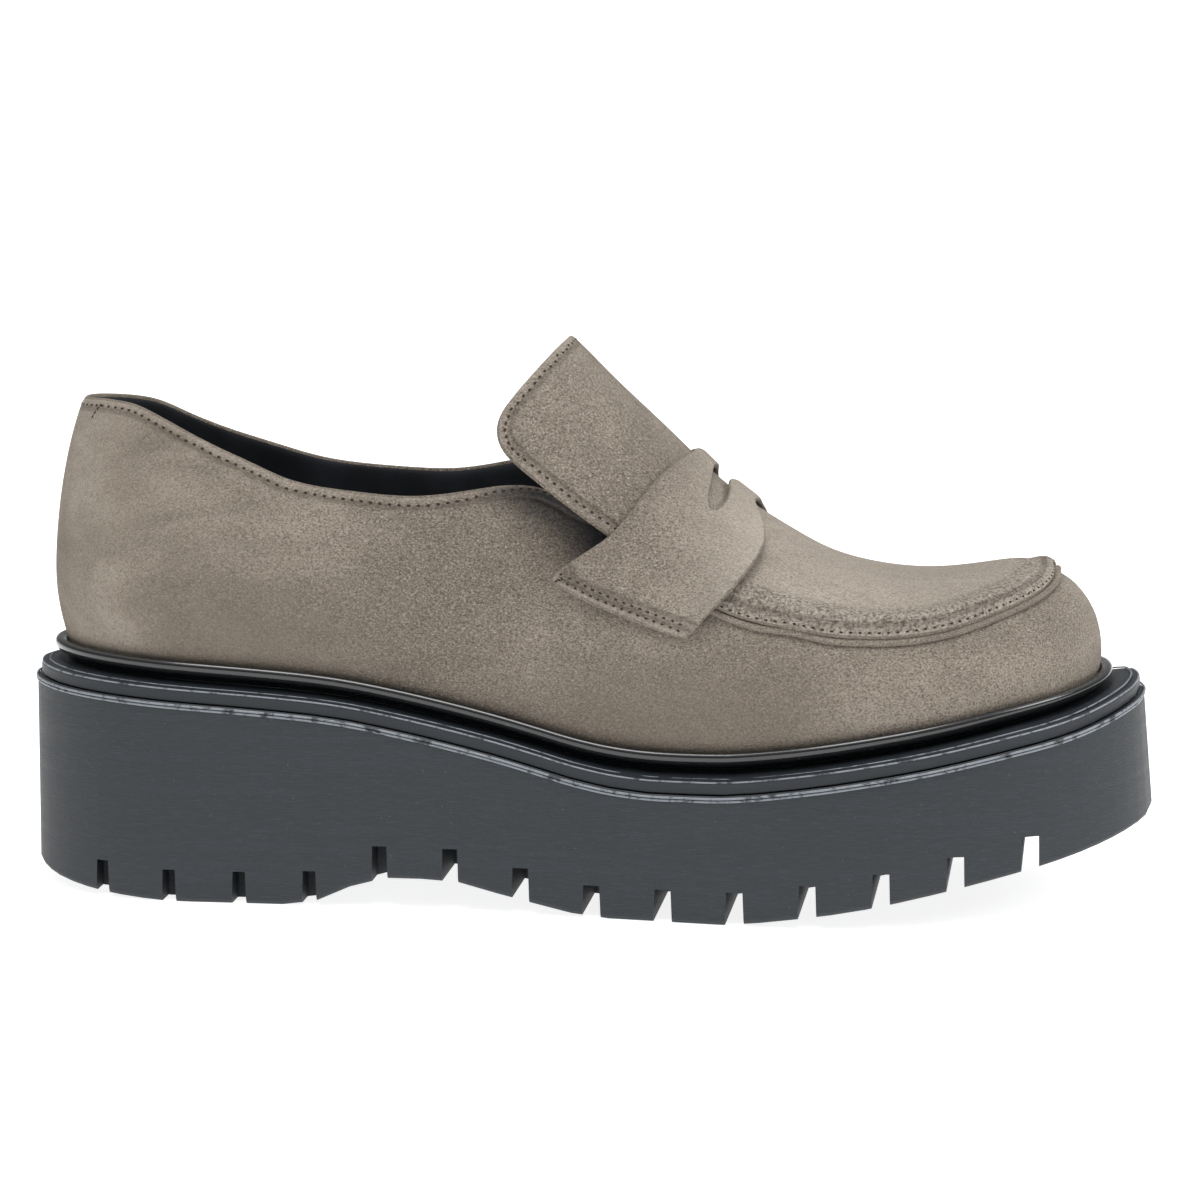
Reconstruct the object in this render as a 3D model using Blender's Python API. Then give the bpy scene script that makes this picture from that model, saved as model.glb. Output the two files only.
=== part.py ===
"""Chunky lug sole penny loafer, right shoe.

+X points to the toe, +Y to the inner side of the foot, +Z up. The shoe stands on its tread,
with the origin at the middle of its footprint. Lengths are in metres, and the tables below
hold shares of the named sizes.
"""

import math

import bmesh
import bpy
from mathutils import Vector

# Sole unit
SHOE_LENGTH = 0.2785
SOLE_WIDTH = 0.102
HEEL_HEIGHT = 0.052
BALL_HEIGHT = 0.031
TOE_HEIGHT = 0.0515
HEEL_BEVEL = 0.0048
ARCH_RISE = 0.0076
TOE_SPRING = 0.021
TOE_FLARE = 0.0025
FLARE_START = 0.75
EDGE_ROUND = 0.0012
WALL_LIP = 0.0007

# Tread
NOTCH_COUNT = 14
NOTCH_DEPTH = 0.008
NOTCH_TOP_WIDTH = 0.0039
NOTCH_MOUTH_WIDTH = 0.0047
NOTCH_REACH = 0.040
NOTCH_ROOF = 0.002
CENTRE_GROOVE_DEPTH = 0.0045
CENTRE_GROOVE_WIDTH = 0.0055
CENTRE_GROOVE_LENGTH = 0.022

# Midsole, rand and insole
MIDSOLE_HEIGHT = 0.0033
MIDSOLE_INSET = 0.0010
LEDGE_RISE = 0.0012
LEDGE_WIDTH = 0.0045
RAND_RADIUS = 0.00205
RAND_CENTRE_HEIGHT = 0.0045
RAND_NECK = 0.0016
RAND_SEAT = 0.7
RAND_ARC = (-55, 120)
INSOLE_THICKNESS = 0.003

# Last and upper
FEATHER_INSET = 0.0095
INSTEP_HEIGHT = 0.0854
TOE_BOX_HEIGHT = 0.0335
COLLAR_HEIGHT = 0.067
SEAM_HEIGHT = 0.027
LAST_BULGE = 0.005
BULGE_HEIGHT = 0.022
HEEL_FAN = 0.024
TOE_FAN = 0.02845
HEEL_FAN_POWER = 1.5
TOE_FAN_POWER = 1.8
RIDGE_SHIFT = 0.002
SHIFT_SPAN = (0.3, 0.8)
SHIFT_RAMP = 0.2
UPPER_WALL = 0.002
SEAM_LAP = 0.005

# Apron with tongue, and the saddle strap
APRON_WALL = 0.002
APRON_ROLL = 0.0030
ROLL_WIDTH = 0.0105
TONGUE_LIFT = 0.003
STRAP_WALL = 0.0015
STRAP_PUFF = 0.0005
STRAP_FRONT_LIFT = 0.0018

CLEARANCE = 0.0003
STRAP_CLEARANCE = 0.0006

LATERAL = -1
MEDIAL = 1
SIDES = {LATERAL: "lateral", MEDIAL: "medial"}
STATIONS = 44
EVEN_SHARE = 0.15
MERGE = 1e-6
SMOOTH_ANGLE = 35

# Half widths of the sole from its long axis, as shares of SOLE_WIDTH.
OUTLINE = [
    ("along", "lateral", "medial"),
    (0.00, 0.353, 0.353),
    (0.15, 0.353, 0.353),
    (0.25, 0.358, 0.340),
    (0.35, 0.372, 0.323),
    (0.45, 0.402, 0.333),
    (0.55, 0.440, 0.380),
    (0.65, 0.483, 0.445),
    (0.75, 0.505, 0.487),
    (1.00, 0.505, 0.490),
]
HEEL_ROUND = 0.160
HEEL_POWER = 2.0
TOE_ROUND = {LATERAL: 0.715, MEDIAL: 0.77}
TOE_POWER = {LATERAL: 2.2, MEDIAL: 2.6}
TOE_TIP = 0.078

# Underside: shares of HEEL_BEVEL, ARCH_RISE and TOE_SPRING. Top edge of the side wall: its climb
# from BALL_HEIGHT to HEEL_HEIGHT and to TOE_HEIGHT.
SIDE_PROFILE = [
    ("along", "bevel", "arch", "spring", "heel", "toe"),
    (0.000, 1.00, 0.00, 0.00, 1.000, 0.00),
    (0.040, 0.50, 0.00, 0.00, 0.960, 0.00),
    (0.100, 0.14, 0.00, 0.00, 0.914, 0.00),
    (0.150, 0.00, 0.00, 0.00, 0.871, 0.00),
    (0.255, 0.00, 0.00, 0.00, 0.776, 0.00),
    (0.290, 0.00, 0.40, 0.00, 0.730, 0.00),
    (0.325, 0.00, 0.96, 0.00, 0.655, 0.00),
    (0.385, 0.00, 0.98, 0.00, 0.500, 0.00),
    (0.440, 0.00, 0.58, 0.00, 0.338, 0.00),
    (0.480, 0.00, 0.27, 0.00, 0.200, 0.00),
    (0.525, 0.00, 0.00, 0.00, 0.057, 0.00),
    (0.575, 0.00, 0.00, 0.00, 0.000, 0.00),
    (0.630, 0.00, 0.00, 0.00, 0.000, 0.01),
    (0.690, 0.00, 0.00, 0.09, 0.000, 0.10),
    (0.750, 0.00, 0.00, 0.22, 0.000, 0.23),
    (0.810, 0.00, 0.00, 0.39, 0.000, 0.37),
    (0.870, 0.00, 0.00, 0.57, 0.000, 0.53),
    (0.930, 0.00, 0.00, 0.75, 0.000, 0.69),
    (1.000, 0.00, 0.00, 1.00, 0.000, 1.00),
]

# The side notches, counted from the heel: their width, and how far in they run, as shares of the
# named sizes. The last two run right across.
NOTCH_SPAN = (0.079, 0.896)
NOTCHES = [
    ("number", "width", "reach"),
    (0, 0.78, 0.24),
    (3, 0.80, 0.24),
    (4, 0.92, 0.26),
    (5, 0.95, 0.60),
    (7, 1.00, 0.72),
    (8, 1.00, 0.96),
    (11, 1.00, 1.05),
    (12, 1.00, 2.00),
    (13, 1.00, 2.00),
]

# The last: inset of its bottom edge (FEATHER_INSET), swell of its side (LAST_BULGE, BULGE_HEIGHT),
# height of its ridge between TOE_BOX_HEIGHT (0) and INSTEP_HEIGHT (1), and how square it is.
LAST = [
    ("along", "inset", "swell", "swell height", "ridge", "squareness"),
    (0.00, 1.00, 0.98, 1.00, 0.93, 1.85),
    (0.15, 0.95, 0.98, 0.95, 1.02, 1.95),
    (0.36, 0.95, 0.84, 0.78, 1.39, 2.0),
    (0.43, 0.95, 0.80, 0.72, 1.28, 2.0),
    (0.47, 0.95, 0.78, 0.68, 1.18, 2.0),
    (0.50, 0.95, 0.78, 0.66, 1.09, 2.0),
    (0.57, 0.97, 0.78, 0.63, 0.835, 2.0),
    (0.61, 0.98, 0.78, 0.62, 0.615, 2.1),
    (0.66, 1.00, 0.78, 0.60, 0.415, 2.2),
    (0.71, 1.00, 0.78, 0.57, 0.23, 2.3),
    (0.76, 1.04, 0.72, 0.54, 0.115, 2.4),
    (0.82, 1.12, 0.66, 0.50, 0.045, 2.4),
    (0.90, 1.36, 0.60, 0.47, 0.035, 2.2),
    (1.00, 1.58, 0.50, 0.45, 0.00, 2.1),
]
FAN_HEEL_END = 0.16
FAN_TOE_START = 0.77

# Edge of the upper's opening above the midsole's rim: shares of COLLAR_HEIGHT on each side and of
# SEAM_HEIGHT add up, and lap is the share of SEAM_LAP that runs on under the apron.
OPENING = [
    ("along", "lateral", "medial", "seam", "lap"),
    (0.00, 1.00, 1.00, 0.0, 0.0),
    (0.05, 1.015, 0.99, 0.0, 0.0),
    (0.08, 1.015, 0.975, 0.0, 0.0),
    (0.11, 0.99, 0.93, 0.0, 0.0),
    (0.15, 0.94, 0.88, 0.0, 0.0),
    (0.18, 0.89, 0.85, 0.0, 0.0),
    (0.22, 0.835, 0.81, 0.0, 0.0),
    (0.25, 0.79, 0.785, 0.0, 0.0),
    (0.28, 0.78, 0.78, 0.0, 0.0),
    (0.33, 0.79, 0.80, 0.0, 0.0),
    (0.37, 0.82, 0.83, 0.0, 0.0),
    (0.40, 0.87, 0.88, 0.0, 0.0),
    (0.43, 0.93, 0.94, 0.0, 0.0),
    (0.45, 0.97, 0.97, 0.0, 0.0),
    (0.47, 0.97, 0.97, 0.0, 0.0),
    (0.50, 0.93, 0.93, 0.0, 0.0),
    (0.54, 0.86, 0.86, 0.02, 0.2),
    (0.58, 0.62, 0.62, 0.30, 0.6),
    (0.61, 0.33, 0.33, 0.75, 0.8),
    (0.65, 0.06, 0.06, 1.20, 1.0),
    (0.70, 0.00, 0.00, 1.19, 1.0),
    (0.74, 0.00, 0.00, 1.09, 1.0),
    (0.77, 0.00, 0.00, 1.02, 1.0),
    (0.83, 0.00, 0.00, 0.975, 1.0),
    (0.90, 0.00, 0.00, 1.01, 1.0),
    (1.00, 0.00, 0.00, 1.11, 1.0),
]

# Rows of the tongue and of the apron under the strap: where each crosses the ridge, where its edge
# lies, and how high that edge is, as a share of INSTEP_HEIGHT.
TONGUE = [
    ("ridge", "edge", "height"),
    (0.468, 0.438, 0.955),
    (0.472, 0.429, 0.910),
    (0.479, 0.424, 0.865),
    (0.489, 0.426, 0.820),
    (0.505, 0.434, 0.785),
    (0.528, 0.454, 0.750),
    (0.560, 0.489, 0.695),
    (0.596, 0.527, 0.640),
    (0.625, 0.568, 0.555),
    (0.653, 0.610, 0.475),
    (0.678, 0.650, 0.423),
    (0.703, 0.688, 0.388),
    (0.728, 0.722, 0.352),
]
APRON_START = 0.75
LIFT_END = 0.57
LIFT_RAMP = 0.13
ROLL_LIMIT = 0.6
ROLL_START = 0.645
ROLL_RAMP = 0.02
ROLL_LEAN = 1.15
ROLL_FADE = 0.55
FADE_START = 0.84
FADE_RAMP = 0.07

# Strap, from its end at 0 to the top of the instep at 1: where its two edges lie, and the middle
# of the slot between them as a share of the strap's width there.
STRAP = [
    ("share", "back", "front", "slot"),
    (0.00, 0.470, 0.595, 0.46),
    (0.15, 0.509, 0.619, 0.46),
    (0.30, 0.536, 0.638, 0.45),
    (0.45, 0.552, 0.650, 0.44),
    (0.60, 0.563, 0.654, 0.435),
    (0.80, 0.575, 0.646, 0.415),
    (0.95, 0.579, 0.636, 0.405),
    (1.00, 0.579, 0.635, 0.405),
]
STRAP_END_ANGLE = 0.345
MEDIAL_SHIFT = 0.014
SHIFT_SHARE = 0.3
STRAP_RISE = 0.11
STRAP_ROWS = 14
STRAP_BAND_COLUMNS = 4
PUFF_START = 0.3
PUFF_RAMP = 0.4
FRONT_START = 0.55
ROLL_CROSSING = (0.14, 0.66)
SLOT_START_ROW = 8
SLOT_HALF = 0.135
SLOT_BLUNTNESS = 0.5


def smooth(table, name, at):
    """Value of a table's column at a station, through a cubic that never overshoots its rows."""
    rows = table[1:]
    column = table[0].index(name)
    if at <= rows[0][0]:
        return rows[0][column]
    if at >= rows[-1][0]:
        return rows[-1][column]
    steps = [b[0] - a[0] for a, b in zip(rows, rows[1:])]
    grades = [(b[column] - a[column]) / s for a, b, s in zip(rows, rows[1:], steps)]
    k = max(i for i, row in enumerate(rows[:-1]) if row[0] <= at)

    def slope(i):
        if i == 0 or i == len(rows) - 1:
            return grades[min(i, len(grades) - 1)]
        before, after = grades[i - 1], grades[i]
        if before * after <= 0:
            return 0.0
        w1, w2 = 2 * steps[i] + steps[i - 1], steps[i] + 2 * steps[i - 1]
        return (w1 + w2) / (w1 / before + w2 / after)

    h = steps[k]
    s = (at - rows[k][0]) / h
    return (
        rows[k][column] * (1 + 2 * s) * (1 - s) ** 2
        + slope(k) * h * s * (1 - s) ** 2
        + rows[k + 1][column] * s * s * (3 - 2 * s)
        + slope(k + 1) * h * s * s * (s - 1)
    )


def ease(s):
    """0 to 1 with a level start and end."""
    s = min(max(s, 0.0), 1.0)
    return s * s * (3 - 2 * s)


def stations():
    """Places along the shoe, closer together round the heel and the toe."""
    return [
        EVEN_SHARE * i / STATIONS + (1 - EVEN_SHARE) * (1 - math.cos(math.pi * i / STATIONS)) / 2
        for i in range(STATIONS + 1)
    ]


def ring_places():
    """(station, side) once round the shoe: heel, lateral side, toe, medial side."""
    along = stations()
    lateral = [(t, LATERAL) for t in along]
    medial = [(t, MEDIAL) for t in reversed(along[1:-1])]
    return lateral + medial


def outline(t, side):
    """Edge of the sole seen from above."""
    width = smooth(OUTLINE, SIDES[side], t) * SOLE_WIDTH
    back = max(0.0, 1 - t / HEEL_ROUND)
    y = side * width * max(0.0, 1 - back**HEEL_POWER) ** (1 / HEEL_POWER)
    power = TOE_POWER[side]
    front = max(0.0, (t - TOE_ROUND[side]) / (1 - TOE_ROUND[side]))
    tip = TOE_TIP * SOLE_WIDTH
    y = tip + (y - tip) * max(0.0, 1 - front**power) ** (1 / power)
    return Vector((SHOE_LENGTH * t, y))


def inset_outline(t, side, inset):
    """Edge of the sole moved inwards along its own normal."""
    at = outline(t, side)
    step = 1e-5
    if t <= step:
        return at + Vector((inset, 0))
    if t >= 1 - step:
        return at - Vector((inset, 0))
    along = (outline(t + step, side) - outline(t - step, side)).normalized()
    inward = Vector((along.y, -along.x)) * side
    return at + inward * inset


def tread_height(x):
    t = x / SHOE_LENGTH
    return (
        smooth(SIDE_PROFILE, "bevel", t) * HEEL_BEVEL
        + smooth(SIDE_PROFILE, "arch", t) * ARCH_RISE
        + smooth(SIDE_PROFILE, "spring", t) * TOE_SPRING
    )


def wall_height(x):
    """Top edge of the outsole's side wall."""
    t = x / SHOE_LENGTH
    return (
        BALL_HEIGHT
        + smooth(SIDE_PROFILE, "heel", t) * (HEEL_HEIGHT - BALL_HEIGHT)
        + smooth(SIDE_PROFILE, "toe", t) * (TOE_HEIGHT - BALL_HEIGHT)
    )


def rim_height(x):
    """Outer edge of the midsole's ledge."""
    return wall_height(x) + MIDSOLE_HEIGHT


def seat_height(x):
    """Top of the midsole, where the upper and the insole sit."""
    return rim_height(x) + LEDGE_RISE


def ridge_x(x):
    """Where the profile that starts at x on the last's edge meets the ridge."""
    heel = max(0.0, FAN_HEEL_END - x / SHOE_LENGTH) / FAN_HEEL_END
    toe = max(0.0, x / SHOE_LENGTH - FAN_TOE_START) / (1 - FAN_TOE_START)
    return x + HEEL_FAN * heel**HEEL_FAN_POWER - TOE_FAN * toe**TOE_FAN_POWER


def ridge_y(x):
    t = x / SHOE_LENGTH
    middle = (outline(t, LATERAL).y + outline(t, MEDIAL).y) / 2
    start, end = SHIFT_SPAN
    return middle + RIDGE_SHIFT * ease((t - start) / SHIFT_RAMP) * ease((end - t) / SHIFT_RAMP)


class Profile:
    """One side profile of the last: from its bottom edge, out over the swell, up to the ridge."""

    def __init__(self, t, side):
        self.side = side
        inset = smooth(LAST, "inset", t) * FEATHER_INSET
        foot = inset_outline(t, side, inset)
        top_x = ridge_x(foot.x)
        self.top = Vector((top_x, ridge_y(top_x)))
        self.out = (foot - self.top).normalized()
        self.reach = (foot - self.top).length
        self.base = rim_height(foot.x)
        self.swell = smooth(LAST, "swell", t) * LAST_BULGE
        self.swell_height = smooth(LAST, "swell height", t) * BULGE_HEIGHT
        ridge = smooth(LAST, "ridge", top_x / SHOE_LENGTH)
        rise = TOE_BOX_HEIGHT + ridge * (INSTEP_HEIGHT - TOE_BOX_HEIGHT)
        self.height = rim_height(top_x) + rise - self.base
        self.power = smooth(LAST, "squareness", t)

    def angle(self, height):
        """Angle of the upper arc at a height above the rim."""
        share = (height - self.swell_height) / (self.height - self.swell_height)
        return math.asin(min(max(share, 0.0), 1.0) ** (self.power / 2))

    def at_angle(self, angle):
        share = math.cos(angle) ** (2 / self.power) if angle < math.pi / 2 - 1e-6 else 0.0
        climb = math.sin(angle) ** (2 / self.power)
        reach = (self.reach + self.swell) * share
        height = self.swell_height + (self.height - self.swell_height) * climb
        return self.place(reach, height)

    def at_height(self, height, out=0.0):
        """Point on the side at a height above the rim, moved outwards by out."""
        if height >= self.swell_height:
            return self.at_angle(self.angle(height)) + Vector((*self.out, 0)) * out
        turn = math.sin(math.pi / 2 * height / self.swell_height)
        return self.place(self.reach + self.swell * turn + out, height)

    def place(self, reach, height):
        flat = self.top + self.out * reach
        follow = max(0.0, 1 - height / self.swell_height)
        return Vector((flat.x, flat.y, self.base + height + follow * (rim_height(flat.x) - self.base)))


def material(name, colour, roughness):
    made = bpy.data.materials.new(name)
    made.use_nodes = True
    shader = made.node_tree.nodes["Principled BSDF"]
    shader.inputs["Base Color"].default_value = (*colour, 1)
    shader.inputs["Roughness"].default_value = roughness
    shader.inputs["Metallic"].default_value = 0.0
    return made


def add_object(name, bm, look):
    """Turns a closed bmesh into a named object of the shoe."""
    bmesh.ops.recalc_face_normals(bm, faces=bm.faces)
    mesh = bpy.data.meshes.new(name)
    bm.to_mesh(mesh)
    bm.free()
    mesh.shade_smooth()
    mesh.set_sharp_from_angle(angle=math.radians(SMOOTH_ANGLE))
    mesh.materials.append(look)
    made = bpy.data.objects.new(name, mesh)
    bpy.context.scene.collection.objects.link(made)
    return made


def stacked_solid(name, rings, look):
    """Solid from closed rings, bottom to top, with both ends closed straight across the shoe."""
    bm = bmesh.new()
    made = [[bm.verts.new(p) for p in ring] for ring in rings]
    count = len(rings[0])
    for low, high in zip(made, made[1:]):
        for i in range(count):
            j = (i + 1) % count
            bm.faces.new((low[i], low[j], high[j], high[i]))
    for ring in (made[0], made[-1]):
        for i in range(STATIONS):
            corners = [ring[i], ring[i + 1], ring[-i - 1], ring[(-i) % count]]
            unique = list(dict.fromkeys(corners))
            bm.faces.new(unique)
    return add_object(name, bm, look)


def hoop_solid(name, hoops, look):
    """Solid swept once round the shoe: one closed cross-section for each place of the ring."""
    bm = bmesh.new()
    made = [[bm.verts.new(p) for p in hoop] for hoop in hoops]
    for here, there in zip(made, made[1:] + made[:1]):
        for k in range(len(here)):
            m = (k + 1) % len(here)
            bm.faces.new((here[k], here[m], there[m], there[k]))
    return add_object(name, bm, look)


def sheet_solid(name, rows, lifts, walls, look, closed=False, gaps=()):
    """Solid from a sheet of points on the last: its outer face lies lift above them, its inner
    face a wall's thickness lower. gaps lists the (row, column) faces that are left open."""
    bm = bmesh.new()
    lift_layer = bm.verts.layers.float.new("lift")
    wall_layer = bm.verts.layers.float.new("wall")
    grid = []
    for points, row_lifts, row_walls in zip(rows, lifts, walls):
        made = []
        for point, lift, wall in zip(points, row_lifts, row_walls):
            vert = bm.verts.new(point)
            vert[lift_layer] = lift
            vert[wall_layer] = wall
            made.append(vert)
        grid.append(made)
    pairs = list(zip(grid, grid[1:]))
    if closed:
        pairs.append((grid[-1], grid[0]))
    for r, (here, there) in enumerate(pairs):
        for c in range(len(here) - 1):
            if (r, c) not in gaps:
                bm.faces.new((here[c], here[c + 1], there[c + 1], there[c]))
    loose = [v for v in bm.verts if not v.link_faces]
    bmesh.ops.delete(bm, geom=loose, context="VERTS")
    bmesh.ops.remove_doubles(bm, verts=bm.verts, dist=MERGE * 10)
    bmesh.ops.dissolve_degenerate(bm, edges=bm.edges, dist=MERGE)
    bm.normal_update()
    middle = sum((v.co for v in bm.verts), Vector()) / len(bm.verts)
    inside = Vector((middle.x, 0, HEEL_HEIGHT))
    if sum(f.normal.dot(f.calc_center_median() - inside) * f.calc_area() for f in bm.faces) < 0:
        bmesh.ops.reverse_faces(bm, faces=bm.faces)
        bm.normal_update()
    rims = [e for e in bm.edges if e.is_boundary]
    rims = [(e.link_loops[0].vert, e.link_loops[0].link_loop_next.vert) for e in rims]
    outer = list(bm.faces)
    inner = {}
    for vert in list(bm.verts):
        normal = vert.normal.copy()
        place = vert.co + normal * vert[lift_layer]
        inner[vert] = bm.verts.new(place - normal * vert[wall_layer])
        vert.co = place
    for face in outer:
        bm.faces.new([inner[v] for v in reversed(face.verts)])
    for a, b in rims:
        bm.faces.new((b, a, inner[a], inner[b]))
    return add_object(name, bm, look)


def cutter(boxes):
    """Hidden object of tapered bars. Each bar: x, y from, y to, floor, ceiling, widths."""
    bm = bmesh.new()
    for x, y_from, y_to, floor, ceiling, mouth, top in boxes:
        corners = []
        for y in (y_from, y_to):
            for half, z in ((-mouth, floor), (mouth, floor), (top, ceiling), (-top, ceiling)):
                corners.append(bm.verts.new((x + half / 2, y, z)))
        front, back = corners[:4], corners[4:]
        bm.faces.new(front)
        bm.faces.new(list(reversed(back)))
        for k in range(4):
            m = (k + 1) % 4
            bm.faces.new((front[m], front[k], back[k], back[m]))
    made = add_object("tread_cutter", bm, None)
    made.hide_render = True
    made.display_type = "WIRE"
    return made


def make_outsole(look):
    """Lug outsole: side wall with a toe spring and arch, cut by notches from both sides."""
    levels = [
        # inset, share of the wall's height, height above that
        (EDGE_ROUND, 0, 0.0),
        (EDGE_ROUND * 0.3, 0, EDGE_ROUND * 0.3),
        (0.0, 0, EDGE_ROUND),
        (0.0, 0, NOTCH_DEPTH + NOTCH_ROOF),
        (0.0, 1, -WALL_LIP),
        (WALL_LIP, 1, 0.0),
    ]
    rings = []
    for inset, share, above in levels:
        ring = []
        for t, side in ring_places():
            base = outline(t, side).x
            wall = wall_height(base) - tread_height(base)
            flare = TOE_FLARE * ease((t - FLARE_START) / (1 - FLARE_START)) * min(1.0, share + above / wall)
            flat = inset_outline(t, side, inset + flare)
            low, high = tread_height(flat.x), wall_height(flat.x)
            ring.append(Vector((flat.x, flat.y, low + share * (high - low) + above)))
        rings.append(ring)
    outsole = stacked_solid("outsole", rings, look)

    pitch = (NOTCH_SPAN[1] - NOTCH_SPAN[0]) / (NOTCH_COUNT - 1)
    below = -EDGE_ROUND
    bars = []
    for k in range(NOTCH_COUNT):
        t = NOTCH_SPAN[0] + pitch * k
        x = SHOE_LENGTH * t
        ceiling = tread_height(x) + NOTCH_DEPTH
        widths = [smooth(NOTCHES, "width", k) * width for width in (NOTCH_MOUTH_WIDTH, NOTCH_TOP_WIDTH)]
        reach = smooth(NOTCHES, "reach", k) * NOTCH_REACH
        edges = [outline(t, side).y + side * EDGE_ROUND for side in (LATERAL, MEDIAL)]
        if reach > edges[1]:
            bars.append((x, *edges, below, ceiling, *widths))
        else:
            bars.append((x, edges[0], edges[0] + reach, below, ceiling, *widths))
            bars.append((x, edges[1] - reach, edges[1], below, ceiling, *widths))
        if k < NOTCH_COUNT - 1:
            x = SHOE_LENGTH * (t + pitch / 2)
            half = CENTRE_GROOVE_LENGTH / 2
            ceiling = tread_height(x) + CENTRE_GROOVE_DEPTH
            bars.append((x, -half, half, below, ceiling, CENTRE_GROOVE_WIDTH, CENTRE_GROOVE_WIDTH))
    cut = outsole.modifiers.new("tread", "BOOLEAN")
    cut.operation = "DIFFERENCE"
    cut.solver = "EXACT"
    cut.object = cutter(bars)
    return [outsole, cut.object]


def make_midsole(look):
    """Platform layer whose edge shows as a band, with a ledge that slopes up to the upper."""
    levels = [
        # inset, height above the wall's top
        (MIDSOLE_INSET, CLEARANCE),
        (MIDSOLE_INSET, MIDSOLE_HEIGHT - WALL_LIP / 2),
        (MIDSOLE_INSET + WALL_LIP / 2, MIDSOLE_HEIGHT),
        (MIDSOLE_INSET + LEDGE_WIDTH, MIDSOLE_HEIGHT + LEDGE_RISE),
    ]
    rings = []
    for inset, height in levels:
        ring = []
        for t, side in ring_places():
            flare = TOE_FLARE * ease((t - FLARE_START) / (1 - FLARE_START))
            flat = inset_outline(t, side, inset + flare)
            ring.append(Vector((flat.x, flat.y, wall_height(flat.x) + height)))
        rings.append(ring)
    return [stacked_solid("midsole", rings, look)]


def make_rand(look):
    """Glossy rolled rand round the foot of the upper, on a narrow neck."""
    foot = LEDGE_RISE + CLEARANCE
    middle = CLEARANCE + RAND_RADIUS * RAND_SEAT
    start, end = RAND_ARC
    arc_steps = 5
    neck_top = RAND_CENTRE_HEIGHT - RAND_RADIUS * 0.9
    section = [(foot, CLEARANCE), (foot, RAND_NECK), (neck_top, RAND_NECK)]
    for k in range(arc_steps + 1):
        turn = math.radians(start + (end - start) * k / arc_steps)
        height, out = RAND_RADIUS * math.sin(turn), RAND_RADIUS * math.cos(turn)
        section.append((RAND_CENTRE_HEIGHT + height, middle + out))
    section.append((section[-1][0] - RAND_RADIUS * 0.1, CLEARANCE))
    hoops = []
    for t, side in ring_places():
        profile = Profile(t, side)
        hoops.append([profile.at_height(height, out) for height, out in section])
    return [hoop_solid("rand", hoops, look)]


def make_insole(look):
    rings = []
    for height in (CLEARANCE, CLEARANCE + INSOLE_THICKNESS):
        ring = []
        for t, side in ring_places():
            inset = smooth(LAST, "inset", t) * FEATHER_INSET + UPPER_WALL + 2 * CLEARANCE
            flat = inset_outline(t, side, inset)
            ring.append(Vector((flat.x, flat.y, seat_height(flat.x) + height)))
        rings.append(ring)
    return [stacked_solid("insole", rings, look)]


def opening_angle(profile, t, lap=0.0):
    """Angle at which the upper's wall ends, in the collar or under the apron."""
    collar = smooth(OPENING, SIDES[profile.side], t) * COLLAR_HEIGHT
    height = collar + smooth(OPENING, "seam", t) * SEAM_HEIGHT
    return profile.angle(height) + smooth(OPENING, "lap", t) * lap / (profile.reach + profile.swell)


def make_upper(look):
    """Quarters and vamp in one hollow wall, open at the collar, the apron and underneath."""
    low_levels, high_levels = 3, 7
    foot = LEDGE_RISE + CLEARANCE
    rows = []
    for t, side in ring_places():
        profile = Profile(t, side)
        swell = profile.swell_height
        row = [profile.at_height(foot + (swell - foot) * k / low_levels) for k in range(low_levels)]
        end = opening_angle(profile, t, SEAM_LAP)
        row += [profile.at_angle(end * k / high_levels) for k in range(high_levels + 1)]
        rows.append(row)
    lifts = [[0.0] * len(row) for row in rows]
    walls = [[UPPER_WALL] * len(row) for row in rows]
    return [sheet_solid("upper", rows, lifts, walls, look, closed=True)]


def apron_roll(t, share):
    """Extra height of the rolled seam along the apron's edge, ahead of the strap."""
    if not 0 < share < 1:
        return 0.0
    along = ease((t - ROLL_START) / ROLL_RAMP) * (1 - ROLL_FADE * ease((t - FADE_START) / FADE_RAMP))
    return APRON_ROLL * along * math.sin(math.pi * share**ROLL_LEAN)


def tongue_lift(t):
    """How far the free tongue stands off the last behind the strap."""
    return TONGUE_LIFT * ease((LIFT_END - t) / LIFT_RAMP)


def make_apron_tongue(look):
    """Apron of the toe, run on under the strap as the tongue, in one piece."""
    roll_columns, body_columns = 4, 6
    rows, lifts = [], []

    def add_row(ridge, edge, edge_angles):
        row, row_lift = [], []
        for side in (LATERAL, MEDIAL):
            half, half_lift = [], []
            span = math.pi / 2 - edge_angles[side]
            rolled = min(ROLL_WIDTH / Profile(edge, side).reach / span, ROLL_LIMIT)
            shares = [rolled * c / roll_columns for c in range(roll_columns)]
            shares += [rolled + (1 - rolled) * c / body_columns for c in range(body_columns + 1)]
            for share in shares:
                t = edge + (ridge - edge) * (1 - (1 - share) ** 2)
                half.append(Profile(t, side).at_angle(edge_angles[side] + span * share))
                roll = apron_roll(t, share / rolled)
                half_lift.append(APRON_WALL + CLEARANCE + roll + tongue_lift(t))
            if side == MEDIAL:
                half = half[::-1][1:]
                half_lift = half_lift[::-1][1:]
            row += half
            row_lift += half_lift
        rows.append(row)
        lifts.append(row_lift)

    for ridge, edge, height in TONGUE[1:]:
        angles = {s: Profile(edge, s).angle(height * INSTEP_HEIGHT) for s in (LATERAL, MEDIAL)}
        add_row(ridge, edge, angles)
    for t in [t for t in stations() if t > APRON_START]:
        angles = {s: opening_angle(Profile(t, s), t) for s in (LATERAL, MEDIAL)}
        add_row(t, t, angles)
    walls = [[APRON_WALL] * len(row) for row in rows]
    return [sheet_solid("apron_tongue", rows, lifts, walls, look)]


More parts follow.
